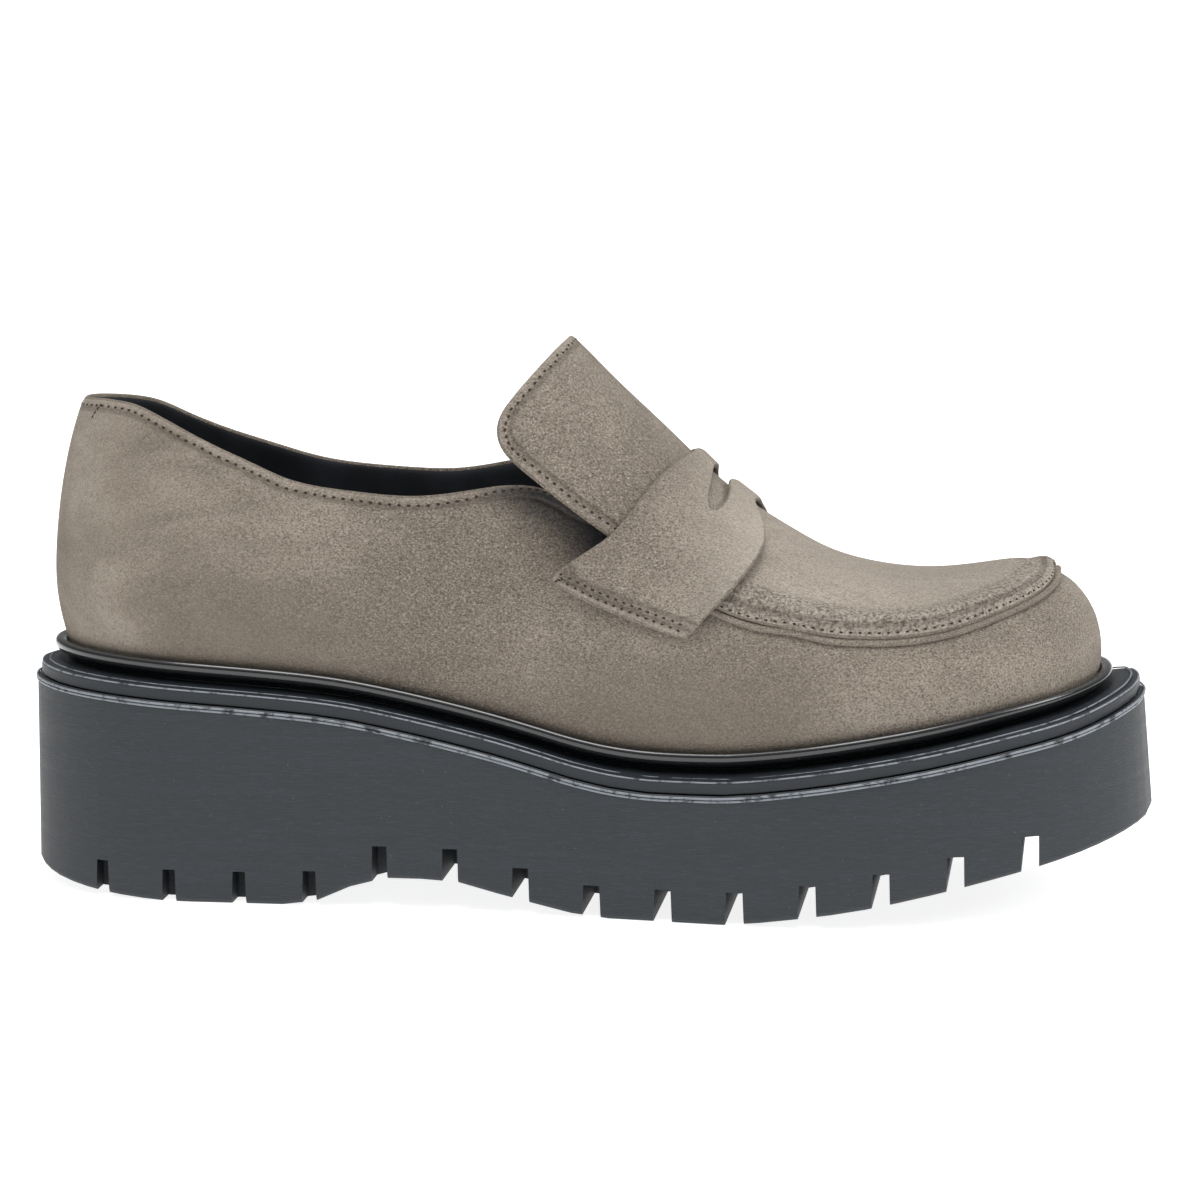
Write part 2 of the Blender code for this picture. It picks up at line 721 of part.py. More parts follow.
def over_roll(share):
    """0 to 1 to 0 along the strap, where its front edge passes over the rolled seam."""
    start, end = ROLL_CROSSING
    return math.sin(math.pi * min(max((share - start) / (end - start), 0.0), 1.0))


def make_strap(look):
    """Saddle strap over the instep, with a slot across its middle."""
    rows, lifts = [], []
    shares = [k / STRAP_ROWS for k in range(STRAP_ROWS + 1)]
    places = [(s, LATERAL) for s in shares] + [(s, MEDIAL) for s in reversed(shares[:-1])]
    closed = SLOT_START_ROW / STRAP_ROWS
    on_upper = CLEARANCE + STRAP_WALL
    on_apron = CLEARANCE + APRON_WALL + STRAP_CLEARANCE + STRAP_WALL
    for share, side in places:
        angle = STRAP_END_ANGLE + (math.pi / 2 - STRAP_END_ANGLE) * share
        back, front = smooth(STRAP, "back", share), smooth(STRAP, "front", share)
        middle = smooth(STRAP, "slot", share)
        opened = max(0.0, share - closed) / (1 - closed)
        half = SLOT_HALF * math.sin(math.pi / 2 * opened) ** SLOT_BLUNTNESS
        bands = [c / STRAP_BAND_COLUMNS for c in range(STRAP_BAND_COLUMNS + 1)]
        splits = [(middle - half) * c for c in bands]
        splits += [1 - (1 - middle - half) * c for c in reversed(bands)]
        row, row_lift = [], []
        if side == MEDIAL:
            front -= MEDIAL_SHIFT * ease((1 - share) / SHIFT_SHARE)
        for v in splits:
            t = back + (front - back) * v
            row.append(Profile(t, side).at_angle(angle))
            rise = ease(share / STRAP_RISE)
            puff = STRAP_PUFF * ease((share - PUFF_START) / PUFF_RAMP) * math.sqrt(math.sin(math.pi * v))
            puff += STRAP_FRONT_LIFT * ease((v - FRONT_START) / (1 - FRONT_START)) * over_roll(share)
            row_lift.append(on_upper + (on_apron - on_upper + tongue_lift(t)) * rise + puff)
        rows.append(row)
        lifts.append(row_lift)
    gaps = {(r, STRAP_BAND_COLUMNS) for r in range(len(rows))}
    walls = [[STRAP_WALL] * len(row) for row in lifts]
    return [sheet_solid("strap", rows, lifts, walls, look, gaps=gaps)]


def main():
    for old in list(bpy.data.objects):
        bpy.data.objects.remove(old, do_unlink=True)
    suede = material("taupe_suede", (0.23, 0.19, 0.155), 0.95)
    rubber = material("matte_black_rubber", (0.035, 0.038, 0.042), 0.6)
    gloss = material("gloss_black_rand", (0.012, 0.012, 0.013), 0.25)
    lining = material("black_lining", (0.010, 0.010, 0.011), 0.7)
    pieces = make_outsole(rubber)
    pieces += make_midsole(rubber)
    pieces += make_rand(gloss)
    pieces += make_insole(lining)
    pieces += make_upper(suede)
    pieces += make_apron_tongue(suede)
    pieces += make_strap(suede)
    edge = [inset_outline(t, side, 0.0).y for t, side in ring_places()]
    shoe = bpy.data.objects.new("shoe", None)
    bpy.context.scene.collection.objects.link(shoe)
    shoe.location = (-SHOE_LENGTH / 2, -(min(edge) + max(edge)) / 2, 0)
    for piece in pieces:
        piece.parent = shoe


main()
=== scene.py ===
"""Looks of a right penny loafer on a chunky lug sole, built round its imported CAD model.

Lengths are in metres, +X points to the toe, +Y to the inner side of the foot and +Z up.
"""

import math

import bmesh
import bpy
from bpy.props import FloatProperty, FloatVectorProperty, PointerProperty
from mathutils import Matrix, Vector
from mathutils.bvhtree import BVHTree
from mathutils.kdtree import KDTree


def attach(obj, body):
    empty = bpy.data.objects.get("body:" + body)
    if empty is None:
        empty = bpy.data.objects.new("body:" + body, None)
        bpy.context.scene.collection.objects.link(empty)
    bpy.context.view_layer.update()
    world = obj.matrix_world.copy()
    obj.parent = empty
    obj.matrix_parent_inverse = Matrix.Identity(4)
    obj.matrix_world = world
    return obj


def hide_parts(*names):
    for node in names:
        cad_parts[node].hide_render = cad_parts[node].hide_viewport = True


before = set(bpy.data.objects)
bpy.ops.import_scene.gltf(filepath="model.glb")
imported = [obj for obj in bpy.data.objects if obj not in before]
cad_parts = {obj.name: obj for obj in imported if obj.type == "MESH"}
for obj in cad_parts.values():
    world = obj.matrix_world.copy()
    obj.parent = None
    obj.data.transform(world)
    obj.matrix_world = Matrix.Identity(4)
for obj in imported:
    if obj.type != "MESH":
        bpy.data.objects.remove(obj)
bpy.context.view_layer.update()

bl_info = {
    "name": "Penny loafer on a lug sole",
    "version": (1, 0, 0),
    "blender": (4, 5, 0),
    "location": "3D View > Sidebar > Loafer",
    "description": "Dresses the packed loafer in suede, rubber, stitches and lining",
    "category": "Object",
}

MM = 0.001
# Points nearer than this are joined
WELD = 1e-5
# Step between the points of an edge that distances are measured from
FINE_STEP = 0.0005
SPLINE_STEPS = 8
OUTSIDE, LINING, RIM = 0, 1, 2

# Long axis of the shoe's inside: back end, front end, Y and height
INSIDE_AXIS = (-0.100, 0.092, 0.001, 0.078)
# A lower height of that axis, for the apron and the strap on top of the shoe
LOW_AXIS = 0.045

# Angles between faces that part the sides of a sheet, and the sole's wall from its top
SHEET_ANGLE = math.radians(42)
WALL_ANGLE = math.radians(30)
# Corners steeper than these are rounded, and a surface is shaded smooth below the last angle
LUG_CORNER = math.radians(50)
BAND_CORNER = math.radians(30)
SOCK_CORNER = math.radians(40)
SMOOTH_BELOW = math.radians(35)
BAND_ROUND = 0.00035
SOCK_ROUND = 0.0008
# A border longer than this runs round the whole sole
ROUND_THE_SOLE = 0.5

# Where rows of stitches and the piping stop, along X
COLLAR_STITCHES_FRONT = 0.0
TONGUE_STITCHES_FRONT = 0.012
APRON_STITCHES_BACK = 0.030
PIPING_BACK = 0.026
# Back, front and top of the tongue's edge whose shadow is painted onto the quarter
TONGUE_SHADOW = (-0.016, 0.014, 0.108)
# The short row of stitches at the back of the collar: its ends and how many
BACK_TACK = ((-0.1222, -0.016, 0.1216), (-0.1240, -0.015, 0.1180), 4)
# The strap's ends lie farther than this from the middle, and their edge within this of a straight line
STRAP_SIDE = 0.030
STRAP_END_SWAY = 0.004
# Their upper corner is the point farthest back along a direction with this slope
STRAP_CORNER_SLOPE = 0.3
# Height of a stitch, and how far it is sunk, as shares of its width
STITCH_HEIGHT = 0.55
STITCH_SUNK = 0.12
# Stitches of the apron's seam and of the strap, as shares of the others' length and width
SEAM_STITCH = (0.9, 0.75)
STRAP_STITCH = (0.9, 0.85)
STRAP_PITCH = 0.92
# The piping's middle lies this far out and up from the seam, as shares of its radius
PIPING_OUT = 0.35
PIPING_UP = 0.75
PIPING_STEP = 0.0015
RIB_STEP = 0.0025

# Where the suede changes along X, from the least to the full effect; over LIT_FRONT it is painted lighter
# towards the front
CALM_HEEL = (-0.13, -0.03)
LIT_FRONT = (0.015, 0.060)
ROLL_BACK = (0.026, 0.036)
# Painted shade low on the suede: a middle and a width, but up the vamp the two heights it fades between
VAMP_SHADE_X, VAMP_SHADE_Z = (0.030, 0.055), (0.074, 0.048)
HEEL_SHADE_X, HEEL_SHADE_Z = (-0.078, 0.028), (0.062, 0.016)
# Millimetres from an edge, from the least to the full effect, and the width of a stitched channel
ROLL_MM = (10.5, 8.0)
SHADOW_MM = (15.0, 4.0)
CUT_RIM_MM = (1.3, 0.0)
CHANNEL_MM = 0.6
EDGE_REACH_MM, SHADOW_REACH_MM = 12.0, 20.0

# Soft strokes in the suede: start, end, width and depth, which is below 0 in a trough
PRESS_REACH = 2.5
UPPER_STROKES = {
    "hollow below the tongue": ((-0.012, -0.034, 0.094), (0.004, -0.037, 0.086), 0.010, -0.0042),
    "crease below the throat": ((-0.022, -0.034, 0.092), (-0.004, -0.040, 0.072), 0.009, -0.0011),
    "ridge behind that crease": ((-0.030, -0.036, 0.096), (-0.014, -0.043, 0.070), 0.008, 0.0006),
    "trough towards the vamp": ((0.004, -0.043, 0.066), (0.030, -0.050, 0.058), 0.008, -0.0006),
    "broad dip of the quarter": ((-0.072, -0.032, 0.095), (-0.066, -0.036, 0.070), 0.016, -0.0005),
    "ridge of the heel": ((-0.120, -0.020, 0.075), (-0.100, -0.032, 0.068), 0.010, 0.0006),
    "ridge low on the vamp": ((0.045, -0.052, 0.050), (0.080, -0.050, 0.054), 0.007, 0.0005),
    "inner crease below the throat": ((-0.022, 0.036, 0.092), (-0.004, 0.041, 0.072), 0.009, -0.0010),
    "inner trough towards the vamp": ((0.010, 0.045, 0.064), (0.036, 0.052, 0.058), 0.008, -0.0006),
    "inner ridge of the heel": ((-0.115, 0.022, 0.072), (-0.095, 0.031, 0.066), 0.010, 0.0005),
}
APRON_STROKES = {
    "outer dip of the toe": ((0.050, -0.012, 0.083), (0.085, -0.006, 0.079), 0.014, -0.0006),
    "lowered toe end of the seam": ((0.111, -0.012, 0.084), (0.114, 0.012, 0.084), 0.006, -0.0016),
    "inner dip of the toe": ((0.050, 0.016, 0.083), (0.085, 0.012, 0.079), 0.014, -0.0005),
    "dip of the tongue": ((0.000, -0.018, 0.118), (0.012, -0.022, 0.104), 0.008, -0.0005),
}
STRAP_STROKES = {
    "trough in the strap's side": ((0.011, -0.036, 0.090), (0.026, -0.041, 0.078), 0.006, -0.0015),
    "ridge of the front edge": ((0.022, -0.026, 0.096), (0.034, -0.036, 0.082), 0.005, 0.0012),
    "trough behind that ridge": ((0.022, -0.018, 0.101), (0.029, -0.030, 0.092), 0.004, -0.0011),
    "ridge above the trough": ((0.004, -0.030, 0.100), (0.016, -0.024, 0.106), 0.005, 0.0008),
    "trough in the inner side": ((0.013, 0.036, 0.089), (0.026, 0.041, 0.078), 0.006, -0.0008),
}

# Fine ribs: node whose top border they follow, distance inwards and up, and share of the ribs' radius
RIBS = {
    "wall_rib_lower": ("outsole", -0.00005, -0.0005, 1.0),
    "wall_rib_upper": ("outsole", -0.00015, 0.00025, 1.0),
    "band_rib": ("midsole", 0.0003, 0.0002, 0.8),
    "ledge_rib": ("midsole", 0.0021, 0.00072, 0.7),
}

# Area lights: place, size and power in watts
LIGHTS = {
    "key_light": ((-0.05, -0.38, 1.30), 0.7, 9.5),
    "toe_light": ((0.95, -0.15, 0.70), 0.5, 4.5),
}
LIGHTS_AIM = (0.0, 0.0, 0.06)
CAMERA_AIM = (0.00245, 0.0008, 0.0713)
FLOOR_WIDTH = 60.0
SENSOR_WIDTH = 36.0
# Brightness of the sky, from the horizon (0) to straight above (1)
SKY = ((0.0, 1.0), (0.05, 0.50), (0.16, 0.20), (0.45, 0.30), (0.75, 0.85), (1.0, 1.0))


def length(name, description, default):
    return FloatProperty(name=name, description=description, default=default, unit="LENGTH", precision=5)


def colour(name, description, default):
    return FloatVectorProperty(name=name, description=description, default=default, subtype="COLOR", size=3,
                               min=0.0, max=1.0)


class LoaferSizes(bpy.types.PropertyGroup):
    """Sizes of what scene.py adds to the solids."""

    stitch_pitch: length("Stitch pitch", "Distance from one stitch hole to the next", 0.0023)
    stitch_length: length("Stitch length", "Length of one stitch along its row", 0.0012)
    stitch_width: length("Stitch width", "Width of one stitch across its row", 0.0008)
    collar_margin: length("Collar margin", "Distance of the collar's stitches from its edge", 0.0024)
    tongue_margin: length("Tongue margin", "Distance of the tongue's stitches from its edge", 0.0027)
    strap_margin: length("Strap margin", "Distance of the strap's first row from its end", 0.0021)
    strap_row_gap: length("Strap row gap", "Distance between the strap's two rows", 0.0018)
    seam_margin: length("Seam margin", "Distance of the apron's stitches from its edge", 0.0011)
    piping_radius: length("Piping radius", "Radius of the cut edge that shows along the apron", 0.00085)
    rib_radius: length("Rib radius", "Radius of the fine ribs moulded round the sole", 0.00031)
    tread_round: length("Tread rounding", "Rounding of the lugs' edges", 0.0008)


class LoaferColours(bpy.types.PropertyGroup):
    """Colours of the finishes."""

    suede: colour("Suede", "Brushed side of the suede", (0.322, 0.277, 0.227))
    suede_shade: colour("Suede shade", "Suede where the nap lies the other way", (0.186, 0.157, 0.126))
    suede_dark: colour("Suede depth", "Gaps between the clumps of nap", (0.095, 0.078, 0.062))
    suede_light: colour("Suede light", "Lightest fibres of the nap", (0.56, 0.50, 0.435))
    thread: colour("Thread", "Stitch holes", (0.030, 0.024, 0.019))
    rubber: colour("Rubber", "Matte side wall of the sole", (0.0108, 0.0147, 0.0190))
    # The ribs' pale grey stands for a painted highlight along their edges
    ribs: colour("Ribs", "Worn edges of the fine ribs", (0.20, 0.22, 0.245))
    rand: colour("Rand", "Glossy rolled rand", (0.004, 0.0045, 0.005))
    lining: colour("Lining", "Lining of the collar and the sock", (0.006, 0.006, 0.007))
    facing: colour("Facing", "Underside of the tongue", (0.008, 0.011, 0.018))
    collar_lining: colour("Collar lining", "Lining that shows inside the collar", (0.020, 0.022, 0.026))
    floor: colour("Floor", "Floor and surroundings", (0.70, 0.70, 0.70))


def sizes():
    return bpy.context.scene.loafer_sizes


def colours():
    return bpy.context.scene.loafer_colours


def select_only(piece):
    if bpy.context.mode != "OBJECT":
        bpy.ops.object.mode_set(mode="OBJECT")
    bpy.ops.object.select_all(action="DESELECT")
    piece.select_set(True)
    bpy.context.view_layer.objects.active = piece


def new_piece(name, mesh):
    piece = bpy.data.objects.new(name, mesh)
    bpy.context.scene.collection.objects.link(piece)
    return piece


def copy_of_node(node, name):
    """A node's mesh in a new object, welded and turned back from triangles to four-sided faces."""
    source = bpy.data.objects[node]
    piece = new_piece(name, source.data.copy())
    piece.data.name = name
    piece.data.materials.clear()
    select_only(piece)
    bpy.ops.object.mode_set(mode="EDIT")
    bpy.ops.mesh.select_all(action="SELECT")
    bpy.ops.mesh.remove_doubles(threshold=WELD)
    bpy.ops.mesh.tris_convert_to_quads(face_threshold=math.radians(50), shape_threshold=math.radians(60))
    bpy.ops.object.mode_set(mode="OBJECT")
    return piece


def add_modifier(piece, kind, **values):
    """Adds a modifier with these values and applies it."""
    select_only(piece)
    made = piece.modifiers.new(kind.lower(), kind)
    for name, value in values.items():
        setattr(made, name, value)
    bpy.ops.object.modifier_apply(modifier=made.name)


def round_corners(piece, width, angle):
    add_modifier(piece, "BEVEL", width=width, segments=2, limit_method="ANGLE", angle_limit=angle,
                 use_clamp_overlap=True)


def shade_by_angle(piece):
    select_only(piece)
    bpy.ops.object.shade_smooth_by_angle(angle=SMOOTH_BELOW)


def smooth_surface(piece, levels):
    add_modifier(piece, "SUBSURF", levels=levels, render_levels=levels, boundary_smooth="ALL")
    select_only(piece)
    bpy.ops.object.shade_smooth()


def finish_piece(piece, slot, *nodes):
    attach(piece, "root")
    if nodes:
        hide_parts(*nodes)


def welded(node):
    """A node's mesh for bmesh, with its doubled points joined."""
    bm = bmesh.new()
    bm.from_mesh(bpy.data.objects[node].data)
    bmesh.ops.remove_doubles(bm, verts=bm.verts, dist=WELD)
    return bm


def area(group):
    return sum(f.calc_area() for f in group)


def regions(bm, angle=SHEET_ANGLE):
    """Groups of faces that no sharp edge divides."""
    left = dict.fromkeys(bm.faces)
    groups = []
    while left:
        start = next(iter(left))
        del left[start]
        group, todo = [start], [start]
        while todo:
            face = todo.pop()
            for edge in face.edges:
                if len(edge.link_faces) != 2 or edge.calc_face_angle(0.0) > angle:
                    continue
                for other in edge.link_faces:
                    if other in left:
                        del left[other]
                        group.append(other)
                        todo.append(other)
        groups.append(group)
    return groups


def from_inside(point, height):
    """Direction to a point from the long axis of the shoe's inside."""
    back, front, y, z = INSIDE_AXIS
    axis = Vector((min(max(point.x, back), front), y, z if height is None else height))
    return point - axis


def faces_outwards(group, height=None):
    """How far a group of faces looks away from the shoe's inside, weighted by area."""
    return sum(f.normal.dot(from_inside(f.calc_center_median(), height).normalized()) * f.calc_area()
               for f in group)


def border_loops(group):
    """Closed rows of points round a group of faces."""
    inside = set(group)
    border = dict.fromkeys(e for f in group for e in f.edges if sum(o in inside for o in e.link_faces) == 1)
    ways = {}
    for edge in border:
        for vert in edge.verts:
            ways.setdefault(vert, []).append(edge)
    left, loops = dict(border), []
    while left:
        edge = next(iter(left))
        del left[edge]
        first, vert = edge.verts
        loop = [first]
        while vert is not first:
            loop.append(vert)
            step = next((e for e in ways[vert] if e in left), None)
            if step is None:
                break
            del left[step]
            vert = step.other_vert(vert)
        loops.append([v.co.copy() for v in loop])
    return sorted(loops, key=len, reverse=True)


def two_sides(bm, height=None):
    """The outer and the inner side of a sheet, as groups of faces."""
    groups = sorted(regions(bm), key=lambda g: -area(g))[:2]
    return sorted(groups, key=lambda g: -faces_outwards(g, height))


def outer_border(node, height):
    """Longest border of the outer side of a node's solid."""
    bm = welded(node)
    outer, _ = two_sides(bm, height)
    border = border_loops(outer)[0]
    bm.free()
    return border


def mean_height(loop):
    return sum(p.z for p in loop) / len(loop)


def around(loop):
    return sum((loop[i] - loop[i - 1]).length for i in range(len(loop)))


def wall_loops(node):
    """Borders of the upright wall of a node that run round the whole sole, the lowest first."""
    bm = welded(node)
    wall = max(regions(bm, WALL_ANGLE),
               key=lambda g: sum(f.calc_area() * (0.5 - abs(f.normal.z)) for f in g))
    loops = [loop for loop in border_loops(wall) if around(loop) > ROUND_THE_SOLE]
    bm.free()
    return sorted(loops, key=mean_height)


def spline(points, step, closed=True):
    """Evenly spaced points on a smooth curve through a row of points."""
    count = len(points)
    dense = []
    for i in range(count if closed else count - 1):
        four = [i - 1, i, i + 1, i + 2]
        a, b, c, d = (points[j % count if closed else min(max(j, 0), count - 1)] for j in four)
        for k in range(SPLINE_STEPS):
            s = k / SPLINE_STEPS
            dense.append(0.5 * (2 * b + (c - a) * s + (2 * a - 5 * b + 4 * c - d) * s * s
                                + (3 * b - a - 3 * c + d) * s**3))
    dense.append(points[0] if closed else points[-1])
    total = sum((q - p).length for p, q in zip(dense, dense[1:]))
    spacing = total / max(1, round(total / step))
    even, gone = [dense[0]], 0.0
    for p, q in zip(dense, dense[1:]):
        run = (q - p).length
        while gone + run >= spacing * len(even) - 1e-9 and len(even) * spacing < total - spacing * 0.5:
            even.append(p.lerp(q, (spacing * len(even) - gone) / run if run else 0.0))
        gone += run
    if not closed:
        even.append(dense[-1])
    return even


class Skin:
    """Outer surface of a piece, to place seams on."""

    def __init__(self, piece):
        mesh = piece.data
        faces = [tuple(f.vertices) for f in mesh.polygons if f.material_index == OUTSIDE]
        self.tree = BVHTree.FromPolygons([v.co for v in mesh.vertices], faces)

    def nearest(self, point):
        place, normal, _, _ = self.tree.find_nearest(point)
        return place, normal

    def moved_on(self, points):
        """The points of the skin that lie nearest to a row of points."""
        return [self.nearest(point)[0] for point in points]

    def row(self, loop, margin, closed=True):
        """Points and normals on the skin at a margin from a loop, on its own side of it."""
        count, places = len(loop), []
        for i, point in enumerate(loop):
            before = loop[i - 1] if closed or i > 0 else point
            after = loop[(i + 1) % count] if closed or i < count - 1 else point
            along = (after - before).normalized()
            _, normal = self.nearest(point)
            across = normal.cross(along).normalized()
            best = None
            for sign in (1, -1):
                place, facing = self.nearest(point + across * margin * sign)
                miss = (place - point - across * margin * sign).length
                if best is None or miss < best[0]:
                    best = (miss, place, facing)
            places.append(best[1:])
        return places


def edge_attribute(piece, loops, name="edge_mm", reach=EDGE_REACH_MM):
    """Stores each point's distance from the nearest of some loops, in millimetres."""
    dense = [p for loop in loops for p in loop]
    tree = KDTree(len(dense))
    for i, point in enumerate(dense):
        tree.insert(point, i)
    tree.balance()
    attribute = piece.data.attributes.new(name, "FLOAT", "POINT")
    for i, vert in enumerate(piece.data.vertices):
        attribute.data[i].value = min(tree.find(vert.co)[2] / MM, reach)


def press(piece, strokes):
    """Pushes soft troughs (depth below 0) and ridges into the surface, along named strokes."""
    mesh = piece.data
    inner = set()
    for face in mesh.polygons:
        if face.material_index == LINING:
            inner.update(face.vertices)
    moves = [Vector() for _ in mesh.vertices]
    for start, end, width, depth in strokes.values():
        start, end = Vector(start), Vector(end)
        along = end - start
        for i, vert in enumerate(mesh.vertices):
            s = min(max((vert.co - start).dot(along) / along.length_squared, 0.0), 1.0)
            away = (vert.co - start - along * s).length / width
            if away < PRESS_REACH:
                normal = vert.normal * (-1 if i in inner else 1)
                moves[i] += normal * depth * math.exp(-away * away) * (1 - 0.5 * abs(2 * s - 1) ** 3)
    for vert, move in zip(mesh.vertices, moves):
        vert.co += move
    mesh.update()


def thread_object(name, rows, long, wide, look, slot):
    """One stitch, modelled once and copied along rows of (place, normal, direction)."""
    bpy.ops.object.select_all(action="DESELECT")
    bpy.ops.mesh.primitive_uv_sphere_add(segments=8, ring_count=5, radius=0.5)
    stitch = bpy.context.object
    points = [v.co.copy() for v in stitch.data.vertices]
    faces = [tuple(f.vertices) for f in stitch.data.polygons]
    bpy.data.objects.remove(stitch, do_unlink=True)
    all_points, all_faces = [], []
    for place, normal, along in rows:
        across = normal.cross(along).normalized()
        start = len(all_points)
        for p in points:
            offset = along * p.x * long + across * p.y * wide + normal * p.z * wide * STITCH_HEIGHT
            all_points.append(place + offset - normal * wide * STITCH_SUNK)
        all_faces += [tuple(start + k for k in f) for f in faces]
    mesh = bpy.data.meshes.new(name)
    mesh.from_pydata(all_points, [], all_faces)
    mesh.shade_smooth()
    mesh.materials.append(look)
    finish_piece(new_piece(name, mesh), slot)


def order_along(places):
    """Turns a cut ring of places so that its gap lies between its ends."""
    widest = max(range(len(places)), key=lambda i: (places[i][0] - places[i - 1][0]).length)
    return places[widest:] + places[:widest]


def stitches_on(places):
    """Rows of (place, normal, direction) for thread_object."""
    rows = []
    for i, (place, normal) in enumerate(places):
        ahead = places[min(i + 1, len(places) - 1)][0] - places[max(i - 1, 0)][0]
        if ahead.length > 0:
            rows.append((place, normal, ahead.normalized()))
    return rows


def cord_object(name, points, radius, look, slot, closed=True, roundness=1):
    """A thin rib or piping swept along points, as a mesh."""
    line = bpy.data.curves.new(name, "CURVE")
    line.dimensions = "3D"
    line.bevel_depth = radius
    line.bevel_resolution = roundness
    line.use_fill_caps = True
    run = line.splines.new("POLY")
    run.points.add(len(points) - 1)
    for knot, point in zip(run.points, points):
        knot.co = (*point, 1.0)
    run.use_cyclic_u = closed
    piece = new_piece(name, line)
    select_only(piece)
    bpy.ops.object.convert(target="MESH")
    piece = bpy.context.object
    bpy.ops.object.shade_smooth()
    piece.data.materials.append(look)
    finish_piece(piece, slot)


# Materials


class Nodes:
    """Short way to build a material's nodes."""

    def __init__(self, name):
        self.material = bpy.data.materials.new(name)
        self.material.use_nodes = True
        self.tree = self.material.node_tree
        self.shader = self.tree.nodes["Principled BSDF"]
        coordinates = self.tree.nodes.new("ShaderNodeTexCoord")
        self.place = coordinates.outputs["Object"]

    def link(self, output, socket):
        if isinstance(output, (int, float)):
            socket.default_value = output
        elif isinstance(output, (tuple, list)):
            wants_alpha = len(output) == 3 and len(socket.default_value) == 4
            socket.default_value = (*output, 1.0) if wants_alpha else output
        else:
            self.tree.links.new(output, socket)

    def mapped(self, scale):
        node = self.tree.nodes.new("ShaderNodeMapping")
        self.link(self.place, node.inputs["Vector"])
        node.inputs["Scale"].default_value = scale
        return node.outputs["Vector"]

    def axis(self, name):
        node = self.tree.nodes.new("ShaderNodeSeparateXYZ")
        self.link(self.place, node.inputs["Vector"])
        return node.outputs[name]

    def noise(self, scale, detail=2.0, roughness=0.5, vector=None, distortion=0.0):
        node = self.tree.nodes.new("ShaderNodeTexNoise")
        self.link(vector or self.place, node.inputs["Vector"])
        node.inputs["Scale"].default_value = scale
        node.inputs["Detail"].default_value = detail
        node.inputs["Roughness"].default_value = roughness
        node.inputs["Distortion"].default_value = distortion
        return node.outputs["Fac"]

    def math(self, operation, a, b):
        node = self.tree.nodes.new("ShaderNodeMath")
        node.operation = operation
        self.link(a, node.inputs[0])
        self.link(b, node.inputs[1])
        return node.outputs[0]

    def plus(self, a, b):
        return self.math("ADD", a, b)

    def times(self, a, b):
        return self.math("MULTIPLY", a, b)

    def steps(self, value, low, high):
        """0 at low and 1 at high, also where low is the larger value."""
        node = self.tree.nodes.new("ShaderNodeMapRange")
        node.interpolation_type = "SMOOTHSTEP"
        self.link(value, node.inputs["Value"])
        node.inputs["From Min"].default_value = low
        node.inputs["From Max"].default_value = high
        return node.outputs["Result"]

    def mix(self, share, a, b):
        node = self.tree.nodes.new("ShaderNodeMix")
        node.data_type = "RGBA"
        self.link(share, node.inputs[0])
        self.link(a, node.inputs[6])
        self.link(b, node.inputs[7])
        return node.outputs[2]

    def laid(self, base, tone, mask, strength):
        """A tone laid over a base where a mask says, at most with this strength."""
        return self.mix(self.times(mask, strength), base, tone)

    def attribute(self, name):
        node = self.tree.nodes.new("ShaderNodeAttribute")
        node.attribute_name = name
        return node.outputs["Fac"]

    def near(self, value, middle, width):
        """A bell of this width round a value."""
        away = self.math("DIVIDE", self.math("SUBTRACT", value, middle), width)
        return self.math("POWER", math.e, self.times(self.times(away, away), -1.0))

    def bump(self, height, distance, strength=1.0, normal=None):
        node = self.tree.nodes.new("ShaderNodeBump")
        node.inputs["Strength"].default_value = strength
        node.inputs["Distance"].default_value = distance
        self.link(height, node.inputs["Height"])
        if normal is not None:
            self.link(normal, node.inputs["Normal"])
        return node.outputs["Normal"]

    def set(self, **values):
        names = {"colour": "Base Color", "roughness": "Roughness", "normal": "Normal",
                 "coat": "Coat Weight", "coat_roughness": "Coat Roughness", "sheen": "Sheen Weight",
                 "sheen_roughness": "Sheen Roughness", "sheen_tint": "Sheen Tint",
                 "specular": "Specular IOR Level"}
        for name, value in values.items():
            self.link(value, self.shader.inputs[names[name]])


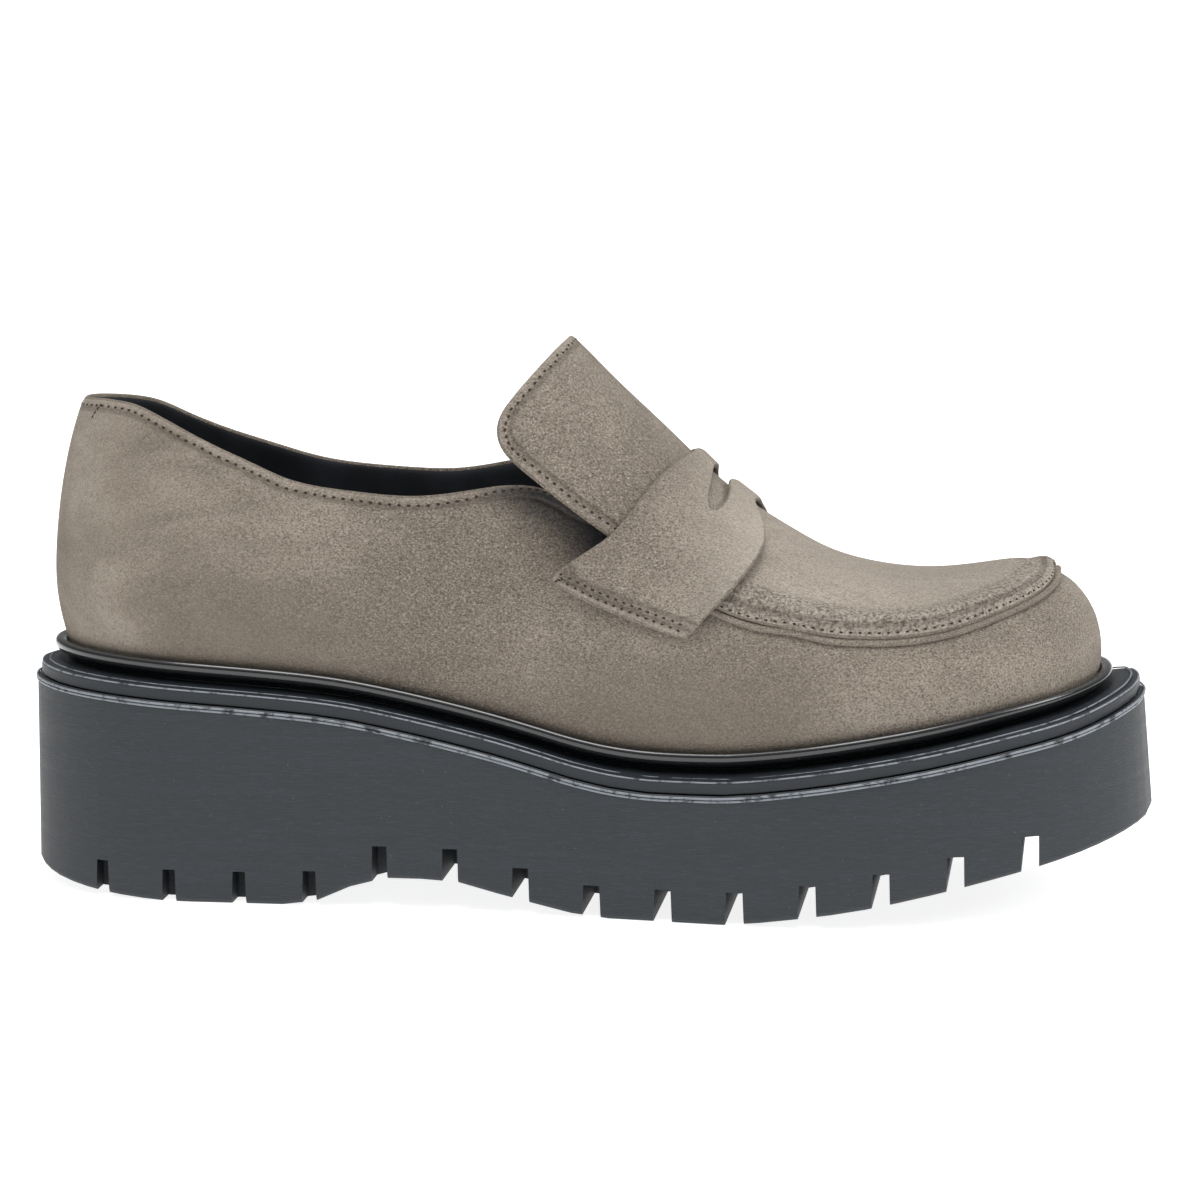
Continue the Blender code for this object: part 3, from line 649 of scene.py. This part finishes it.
def suede(name, margins=(), coarse=1.0, edge_light=0.0, shade=0.0, painted_front_light=0.0,
          hollow=False, rolled=False):
    """Brushed suede: fibres, clumps of nap, brushed patches, a channel along each seam, and where asked
    painted shade, painted light, a painted highlight at the cut edge and the tongue's painted shadow.
    """
    made, tint = Nodes(name), colours()
    shaded, mid, light = tuple(tint.suede_shade), tuple(tint.suede), tuple(tint.suede_light)
    deep = tuple(tint.suede_dark)
    along, up = made.axis("X"), made.axis("Z")
    patches = made.noise(13.0, 3.0, 0.55, distortion=0.6)
    strokes = made.noise(48.0, 3.0, 0.6, vector=made.mapped((0.55, 1.0, 1.3)), distortion=0.8)
    clumps = made.noise(700.0 / coarse, 2.0, 0.6)
    fibres = made.noise(2500.0 / coarse, 3.0, 0.75, vector=made.mapped((0.7, 1.0, 1.0)), distortion=0.3)
    turned = made.plus(made.times(patches, 0.62), made.times(strokes, 0.38))
    # Painted shade: rims and the strap's backing are laid darker by their shade share
    turned = made.math("SUBTRACT", turned, shade * 0.12)
    height = made.plus(made.times(clumps, 0.75), made.times(fibres, 0.55))

    grain = made.plus(0.45, made.times(made.steps(along, *CALM_HEEL), 0.55))
    base = made.mix(made.steps(turned, 0.36, 0.62), shaded, mid)
    base = made.laid(base, light, made.steps(turned, 0.53, 0.70), 0.30)
    base = made.laid(base, shaded, made.steps(clumps, 0.60, 0.34), 0.26)
    base = made.laid(base, light, made.times(made.steps(fibres, 0.48, 0.78), grain), 0.78)
    base = made.laid(base, deep, made.times(made.steps(fibres, 0.51, 0.35), grain), 0.95)

    # Painted shade low on the vamp and the heel, laid in the suede's shade colour
    vamp = made.times(made.near(along, *VAMP_SHADE_X), made.steps(up, *VAMP_SHADE_Z))
    heel = made.times(made.near(along, *HEEL_SHADE_X), made.near(up, *HEEL_SHADE_Z))
    base = made.laid(base, shaded, made.plus(vamp, heel), 0.58)
    # Painted light: the apron and the strap grow lighter towards the front, where they face up to the light
    if painted_front_light:
        base = made.laid(base, light, made.steps(along, *LIT_FRONT), painted_front_light)
    if rolled:
        roll = made.times(made.steps(made.attribute("edge_mm"), *ROLL_MM), made.steps(along, *ROLL_BACK))
        tufts = made.noise(1250.0, 2.0, 0.7)
        height = made.plus(height, made.times(made.times(tufts, roll), 0.8))
        base = made.laid(base, deep, made.times(made.steps(tufts, 0.52, 0.36), roll), 0.75)
        base = made.laid(base, light, made.times(made.steps(tufts, 0.54, 0.70), roll), 0.45)
    # Painted shadow: near the tongue's edge the quarter is laid over with the tongue's dark facing colour
    if hollow:
        shadow = made.steps(made.attribute("under_mm"), *SHADOW_MM)
        base = made.laid(base, tuple(tint.facing), shadow, 0.93)
    normal = made.bump(height, 0.00085)
    if margins:
        edge = made.attribute("edge_mm")
        channel = 0.0
        for margin in margins:
            channel = made.plus(channel, made.near(edge, margin / MM, CHANNEL_MM))
        base = made.laid(base, deep, channel, 0.42)
        normal = made.bump(made.times(channel, -1.0), 0.0006, normal=normal)
        # Painted highlight: a lighter rim along the cut edge, as strong as edge_light
        base = made.laid(base, light, made.steps(edge, *CUT_RIM_MM), edge_light)
    made.set(colour=base, roughness=0.97, normal=normal, sheen=0.12, sheen_roughness=0.5,
             sheen_tint=(0.95, 0.90, 0.84), specular=0.08)
    return made.material


def lighter(tint, times, plus=0.0):
    return tuple(c * times + plus for c in tint)


def lining_leather(name, tint, gloss):
    """Smooth dark lining with fine grain and soft creases."""
    made = Nodes(name)
    grain = made.noise(900.0, 3.0, 0.6)
    creases = made.noise(60.0, 2.0, 0.5)
    rough = made.plus(gloss - 0.06, made.times(creases, 0.12))
    normal = made.bump(made.plus(grain, made.times(creases, 2.0)), 0.00012, 0.5)
    base = made.mix(made.steps(creases, 0.35, 0.7), tint, lighter(tint, 1.7))
    made.set(colour=base, roughness=rough, normal=normal, specular=0.4)
    return made.material


def sanded_rubber(name):
    """Matte black rubber with fine lines from sanding and a few light specks."""
    made, rubber = Nodes(name), tuple(colours().rubber)
    lines = made.noise(1.0, 3.0, 0.75, vector=made.mapped((260.0, 260.0, 3200.0)))
    broad = made.noise(1.0, 2.0, 0.5, vector=made.mapped((16.0, 16.0, 420.0)))
    pores = made.noise(2200.0, 2.0, 0.6)
    specks = made.steps(made.noise(1500.0, 1.0), 0.74, 0.80)
    light = lighter(rubber, 2.2, 0.007)
    base = made.laid(rubber, light, made.steps(lines, 0.45, 0.75), 0.50)
    base = made.laid(base, light, made.steps(broad, 0.45, 0.7), 0.18)
    base = made.laid(base, (0.12, 0.13, 0.14), specks, 0.35)
    height = made.plus(made.times(lines, 0.7), made.times(pores, 0.5))
    rough = made.plus(0.50, made.times(broad, 0.16))
    made.set(colour=base, roughness=rough, normal=made.bump(height, 0.00016, 0.8), specular=0.55)
    return made.material


def moulded_rubber(name):
    """Finer moulded rubber of the band and its ledge."""
    made, rubber = Nodes(name), tuple(colours().rubber)
    grain = made.noise(1700.0, 3.0, 0.6)
    scuffs = made.noise(1.0, 3.0, 0.7, vector=made.mapped((90.0, 90.0, 1500.0)))
    base = made.laid(rubber, lighter(rubber, 1.9, 0.008), made.steps(scuffs, 0.5, 0.8), 0.45)
    rough = made.plus(0.46, made.times(scuffs, 0.14))
    made.set(colour=base, roughness=rough, normal=made.bump(grain, 0.00010, 0.6), specular=0.5)
    return made.material


def highlighted_ribs(name):
    """Ribs with a painted highlight, pale grey in dashes along them."""
    made, tint = Nodes(name), colours()
    painted_rib_light = made.noise(330.0, 3.0, 0.7)
    base = made.mix(made.steps(painted_rib_light, 0.34, 0.52), tuple(tint.rubber), tuple(tint.ribs))
    made.set(colour=base, roughness=0.38, normal=made.bump(painted_rib_light, 0.00010, 0.6), specular=0.6)
    return made.material


def glossy_rand(name):
    """Glossy black rand with faint waves and a little dust."""
    made = Nodes(name)
    waves = made.noise(260.0, 3.0, 0.6)
    dust = made.steps(made.noise(1300.0, 1.0), 0.71, 0.78)
    rough = made.plus(0.11, made.times(waves, 0.14))
    base = made.laid(tuple(colours().rand), (0.10, 0.11, 0.12), dust, 0.35)
    made.set(colour=base, roughness=rough, normal=made.bump(waves, 0.00012, 0.5), specular=0.6,
             coat=0.35, coat_roughness=0.16)
    return made.material


def stitch_thread(name):
    """Dark twisted thread."""
    made, thread = Nodes(name), tuple(colours().thread)
    twist = made.noise(2600.0, 2.0, 0.6)
    base = made.mix(twist, thread, lighter(thread, 1.9))
    made.set(colour=base, roughness=0.9, normal=made.bump(twist, 0.0001, 0.5), specular=0.1)
    return made.material


def floor_paint(name, glow):
    """Matte pale paint that gives back some light of its own."""
    made = Nodes(name)
    made.set(colour=tuple(colours().floor), roughness=0.9, specular=0.0)
    made.shader.inputs["Emission Color"].default_value = (1.0, 1.0, 1.0, 1.0)
    made.shader.inputs["Emission Strength"].default_value = glow
    return made.material


def studio_sky(name, strength):
    """Surroundings that are bright overhead and at the horizon, and darker between."""
    world = bpy.data.worlds.new(name)
    world.use_nodes = True
    tree = world.node_tree
    place = tree.nodes.new("ShaderNodeTexCoord")
    parts = tree.nodes.new("ShaderNodeSeparateXYZ")
    tree.links.new(place.outputs["Generated"], parts.inputs["Vector"])
    ramp = tree.nodes.new("ShaderNodeValToRGB")
    tree.links.new(parts.outputs["Z"], ramp.inputs["Fac"])
    while len(ramp.color_ramp.elements) < len(SKY):
        ramp.color_ramp.elements.new(0.5)
    for stop, (where, bright) in zip(ramp.color_ramp.elements, SKY):
        stop.position = where
        stop.color = (bright, bright, bright, 1.0)
    back = tree.nodes["Background"]
    tree.links.new(ramp.outputs["Color"], back.inputs["Color"])
    back.inputs["Strength"].default_value = strength
    return world


# Pieces


def dressed_sheet(node, name, looks, levels, inside_height=None):
    """A sheet of suede with its lining side, smoothed from the solid: piece, border loops."""
    piece = copy_of_node(node, name)
    for look in looks:
        piece.data.materials.append(look)
    bm = bmesh.new()
    bm.from_mesh(piece.data)
    outer, inner = two_sides(bm, inside_height)
    for face in bm.faces:
        face.material_index = RIM
    for face in outer:
        face.material_index = OUTSIDE
    for face in inner:
        face.material_index = LINING
    loops = border_loops(outer)
    bm.to_mesh(piece.data)
    bm.free()
    smooth_surface(piece, levels)
    return piece, loops


class LOAFER_OT_upper(bpy.types.Operator):
    """Suede quarters and vamp with their lining and stitched collar"""

    bl_idname = "loafer.upper"
    bl_label = "Upper"

    def execute(self, context):
        size, tint = sizes(), colours()
        # hollow=True paints the tongue's shadow onto the quarter below it
        look = suede("upper_suede", (size.collar_margin,), edge_light=0.15, hollow=True)
        lining = lining_leather("collar_lining", tuple(tint.collar_lining), 0.40)
        rim = suede("upper_rim", coarse=0.9, shade=1.0)
        piece, loops = dressed_sheet("upper", "suede_upper", (look, lining, rim), levels=2)
        top = max(loops, key=mean_height)
        press(piece, UPPER_STROKES)
        skin = Skin(piece)
        edge_attribute(piece, [skin.moved_on(spline(top, FINE_STEP))])
        back, front, high = TONGUE_SHADOW
        tongue = [p for p in spline(outer_border("apron_tongue", LOW_AXIS), 2 * FINE_STEP)
                  if back < p.x < front and p.z < high]
        edge_attribute(piece, [tongue], "under_mm", SHADOW_REACH_MM)
        finish_piece(piece, "taupe_suede", "upper")

        collar = skin.row(spline(top, size.stitch_pitch), size.collar_margin)
        rows = stitches_on(order_along([p for p in collar if p[0].x < COLLAR_STITCHES_FRONT]))
        start, end, count = BACK_TACK
        tack = [Vector(start).lerp(Vector(end), k / (count - 1)) for k in range(count)]
        rows += stitches_on([skin.nearest(p) for p in tack])
        thread_object("collar_stitches", rows, size.stitch_length,
                      size.stitch_width, stitch_thread("collar_thread"), "black_lining")
        return {"FINISHED"}


class LOAFER_OT_apron(bpy.types.Operator):
    """Suede apron with its rolled seam and the tongue behind it"""

    bl_idname = "loafer.apron"
    bl_label = "Apron and tongue"

    def execute(self, context):
        size, tint = sizes(), colours()
        look = suede("apron_suede", (size.tongue_margin,), coarse=1.1, edge_light=0.15,
                     painted_front_light=0.24, rolled=True)
        facing = lining_leather("tongue_facing", tuple(tint.facing), 0.5)
        rim = suede("tongue_rim", coarse=0.9, shade=0.6)
        piece, loops = dressed_sheet("apron_tongue", "suede_apron_tongue", (look, facing, rim), levels=3,
                                     inside_height=LOW_AXIS)
        press(piece, APRON_STROKES)
        skin = Skin(piece)
        edge_attribute(piece, [skin.moved_on(spline(loops[0], FINE_STEP))])
        finish_piece(piece, "taupe_suede", "apron_tongue")

        thread = stitch_thread("tongue_thread")
        border = spline(loops[0], size.stitch_pitch)
        tongue = [p for p in skin.row(border, size.tongue_margin) if p[0].x < TONGUE_STITCHES_FRONT]
        thread_object("tongue_stitches", stitches_on(order_along(tongue)), size.stitch_length,
                      size.stitch_width, thread, "black_lining")
        seam = [p for p in skin.row(border, size.seam_margin) if p[0].x > APRON_STITCHES_BACK]
        thread_object("apron_stitches", stitches_on(order_along(seam)), size.stitch_length * SEAM_STITCH[0],
                      size.stitch_width * SEAM_STITCH[1], thread, "black_lining")
        return {"FINISHED"}


class LOAFER_OT_piping(bpy.types.Operator):
    """Cut edge of the vamp that shows below the apron's seam"""

    bl_idname = "loafer.piping"
    bl_label = "Seam piping"

    def execute(self, context):
        size = sizes()
        border = spline(outer_border("apron_tongue", LOW_AXIS), PIPING_STEP)
        vamp = Skin(bpy.data.objects["suede_upper"])
        line = []
        for i, point in enumerate(border):
            if point.x < PIPING_BACK:
                continue
            place, normal = vamp.nearest(point)
            along = (border[(i + 1) % len(border)] - border[i - 1]).normalized()
            away = normal.cross(along)
            # A point well inside the apron tells which way is outwards
            centre = Vector((APRON_STITCHES_BACK, point.y * 0.2, point.z))
            if away.dot(point - centre) < 0:
                away.negate()
            beside, facing = vamp.nearest(place + away * size.piping_radius * PIPING_OUT)
            line.append((beside + facing * size.piping_radius * PIPING_UP, facing))
        line = [p for p, _ in order_along(line)]
        cord_object("seam_piping", spline(line, PIPING_STEP, closed=False), size.piping_radius,
                    suede("piping_suede", coarse=0.8), "taupe_suede", closed=False, roundness=3)
        return {"FINISHED"}


class LOAFER_OT_strap(bpy.types.Operator):
    """Saddle strap with its slot and two rows of stitches at each end"""

    bl_idname = "loafer.strap"
    bl_label = "Saddle strap"

    def execute(self, context):
        size = sizes()
        margins = (size.strap_margin, size.strap_margin + size.strap_row_gap)
        look = suede("strap_suede", margins, edge_light=0.25, painted_front_light=0.50)
        back = suede("strap_backing", coarse=0.9, shade=1.0)
        rim = suede("strap_rim", coarse=0.9, shade=0.3)
        piece, loops = dressed_sheet("strap", "suede_strap", (look, back, rim), levels=3,
                                     inside_height=LOW_AXIS)
        press(piece, STRAP_STROKES)
        skin = Skin(piece)
        outline = spline(loops[0], FINE_STEP)
        ends = [strap_end([p for p in outline if side * p.y > STRAP_SIDE]) for side in (-1, 1)]
        edge_attribute(piece, [skin.moved_on(end) for end in ends])
        finish_piece(piece, "taupe_suede", "strap")

        rows = []
        for end in ends:
            line = spline(end[::4], size.stitch_pitch * STRAP_PITCH, closed=False)
            # Both rows stop two stitches short of the strap's upper corner
            line = line[:-2] if line[0].z < line[-1].z else line[2:]
            for margin in margins:
                rows += stitches_on(skin.row(line, margin, closed=False)[1:-1])
        thread_object("strap_stitches", rows, size.stitch_length * STRAP_STITCH[0],
                      size.stitch_width * STRAP_STITCH[1], stitch_thread("strap_thread"), "black_lining")
        return {"FINISHED"}


def strap_end(points):
    """The straight stretch of a strap's outline at its lower end."""
    lowest = min(points, key=lambda p: p.z)
    highest_back = min(points, key=lambda p: p.x + STRAP_CORNER_SLOPE * p.z)
    along = highest_back - lowest
    kept = []
    for point in points:
        share = (point - lowest).dot(along) / along.length_squared
        off = (point - lowest - along * share).length
        if 0.0 <= share <= 1.0 and off < STRAP_END_SWAY:
            kept.append((share, point))
    kept.sort(key=lambda item: item[0])
    return [point for _, point in kept]


class LOAFER_OT_rand(bpy.types.Operator):
    """Glossy rolled rand round the foot of the upper"""

    bl_idname = "loafer.rand"
    bl_label = "Rand"

    def execute(self, context):
        piece = copy_of_node("rand", "rolled_rand")
        piece.data.materials.append(glossy_rand("rand_gloss"))
        smooth_surface(piece, 2)
        finish_piece(piece, "gloss_black_rand", "rand")
        return {"FINISHED"}


def moved_rib(loop, inwards, up):
    """A rib's points, at a distance inwards and up from a border of the sole."""
    points = spline(loop, RIB_STEP)
    centre = sum(points, Vector()) / len(points)
    moved = []
    for i, point in enumerate(points):
        along = (points[(i + 1) % len(points)] - points[i - 1]).normalized()
        inward = Vector((0, 0, 1)).cross(along).normalized()
        if inward.dot(point - centre) > 0:
            inward.negate()
        moved.append(point + inward * inwards + Vector((0, 0, up)))
    return moved


class LOAFER_OT_sole(bpy.types.Operator):
    """Lug outsole and the platform band above it, with fine ribs along their edges"""

    bl_idname = "loafer.sole"
    bl_label = "Sole"

    def execute(self, context):
        size = sizes()
        outsole = copy_of_node("outsole", "lug_outsole")
        solid = BVHTree.FromPolygons([v.co for v in outsole.data.vertices],
                                     [tuple(f.vertices) for f in outsole.data.polygons])
        round_corners(outsole, size.tread_round, LUG_CORNER)
        # Points that the rounding throws off the solid go back onto it
        for vert in outsole.data.vertices:
            place, _, _, away = solid.find_nearest(vert.co)
            if away > size.tread_round / 2:
                vert.co = place
        outsole.data.materials.append(sanded_rubber("side_wall_rubber"))
        self.shade(outsole)
        finish_piece(outsole, "matte_black_rubber", "outsole")

        band = copy_of_node("midsole", "platform_band")
        round_corners(band, BAND_ROUND, BAND_CORNER)
        band.data.materials.append(moulded_rubber("band_rubber"))
        self.shade(band)
        finish_piece(band, "matte_black_rubber", "midsole")

        painted_rib_light = highlighted_ribs("rib_highlight_paint")
        for name, (node, inwards, up, share) in RIBS.items():
            rib = moved_rib(wall_loops(node)[-1], inwards, up)
            cord_object(name, rib, size.rib_radius * share, painted_rib_light, "matte_black_rubber")
        return {"FINISHED"}

    def shade(self, piece):
        shade_by_angle(piece)
        add_modifier(piece, "WEIGHTED_NORMAL", weight=60, keep_sharp=True)


class LOAFER_OT_sock(bpy.types.Operator):
    """Black sock that lines the inside of the shoe"""

    bl_idname = "loafer.sock"
    bl_label = "Sock"

    def execute(self, context):
        piece = copy_of_node("insole", "lining_sock")
        round_corners(piece, SOCK_ROUND, SOCK_CORNER)
        piece.data.materials.append(lining_leather("sock_leather", tuple(colours().lining), 0.5))
        shade_by_angle(piece)
        finish_piece(piece, "black_lining", "insole")
        return {"FINISHED"}


class LOAFER_OT_stage(bpy.types.Operator):
    """Pale floor, soft light and the camera at the photograph's angle"""

    bl_idname = "loafer.stage"
    bl_label = "Stage"

    azimuth: FloatProperty(name="Azimuth", description="Turn of the camera towards the toe",
                           default=math.radians(6.5), subtype="ANGLE")
    elevation: FloatProperty(name="Elevation", description="Height of the camera as an angle",
                             default=math.radians(8.0), subtype="ANGLE")
    distance: FloatProperty(name="Distance", description="Distance of the camera", default=1.15,
                            unit="LENGTH")
    width: FloatProperty(name="Width", description="Width of the view at the shoe", default=0.2975,
                         unit="LENGTH", precision=4)
    glow: FloatProperty(name="Floor glow", description="Light that the floor gives back", default=0.85,
                        min=0.0)
    sky: FloatProperty(name="Sky", description="Strength of the surroundings", default=1.0, min=0.0)

    def execute(self, context):
        bpy.ops.object.select_all(action="DESELECT")
        bpy.ops.mesh.primitive_plane_add(size=FLOOR_WIDTH, location=(0, 0, 0))
        floor = context.object
        floor.name = "floor"
        floor.data.materials.append(floor_paint("floor_paint", self.glow))
        context.scene.world = studio_sky("studio", self.sky)
        for name, (place, width, power) in LIGHTS.items():
            self.light(name, place, width, power)

        turn, rise = self.azimuth, self.elevation
        flat = math.cos(rise)
        back = Vector((math.sin(turn) * flat, -math.cos(turn) * flat, math.sin(rise)))
        bpy.ops.object.camera_add(location=Vector(CAMERA_AIM) + back * self.distance)
        camera = context.object
        camera.name = "camera"
        camera.rotation_euler = back.to_track_quat("Z", "Y").to_euler()
        camera.data.sensor_width = SENSOR_WIDTH
        camera.data.lens = camera.data.sensor_width * self.distance / self.width
        context.scene.camera = camera
        context.scene.view_settings.view_transform = "Standard"
        return {"FINISHED"}

    def light(self, name, place, width, power):
        bpy.ops.object.light_add(type="AREA", location=place)
        light = bpy.context.object
        light.name = name
        light.data.size = width
        light.data.energy = power
        away = Vector(place) - Vector(LIGHTS_AIM)
        light.rotation_euler = away.to_track_quat("Z", "Y").to_euler()


class LOAFER_PT_panel(bpy.types.Panel):
    """The loafer's steps, sizes and colours in the sidebar"""

    bl_idname = "LOAFER_PT_panel"
    bl_label = "Loafer"
    bl_space_type = "VIEW_3D"
    bl_region_type = "UI"
    bl_category = "Loafer"

    def draw(self, context):
        for operator in OPERATORS:
            self.layout.operator(operator.bl_idname)
        for group in (context.scene.loafer_sizes, context.scene.loafer_colours):
            for name in group.__annotations__:
                self.layout.prop(group, name)


OPERATORS = (LOAFER_OT_stage, LOAFER_OT_sole, LOAFER_OT_rand, LOAFER_OT_sock, LOAFER_OT_upper,
             LOAFER_OT_apron, LOAFER_OT_piping, LOAFER_OT_strap)
CLASSES = (LoaferSizes, LoaferColours, *OPERATORS, LOAFER_PT_panel)


def register():
    for item in CLASSES:
        bpy.utils.register_class(item)
    bpy.types.Scene.loafer_sizes = PointerProperty(type=LoaferSizes)
    bpy.types.Scene.loafer_colours = PointerProperty(type=LoaferColours)


def unregister():
    del bpy.types.Scene.loafer_sizes
    del bpy.types.Scene.loafer_colours
    for item in reversed(CLASSES):
        bpy.utils.unregister_class(item)


def main():
    register()
    bpy.ops.loafer.stage()
    bpy.ops.loafer.sole()
    bpy.ops.loafer.rand()
    bpy.ops.loafer.sock()
    bpy.ops.loafer.upper()
    bpy.ops.loafer.apron()
    bpy.ops.loafer.piping()
    bpy.ops.loafer.strap()


if __name__ == "__main__":
    main()
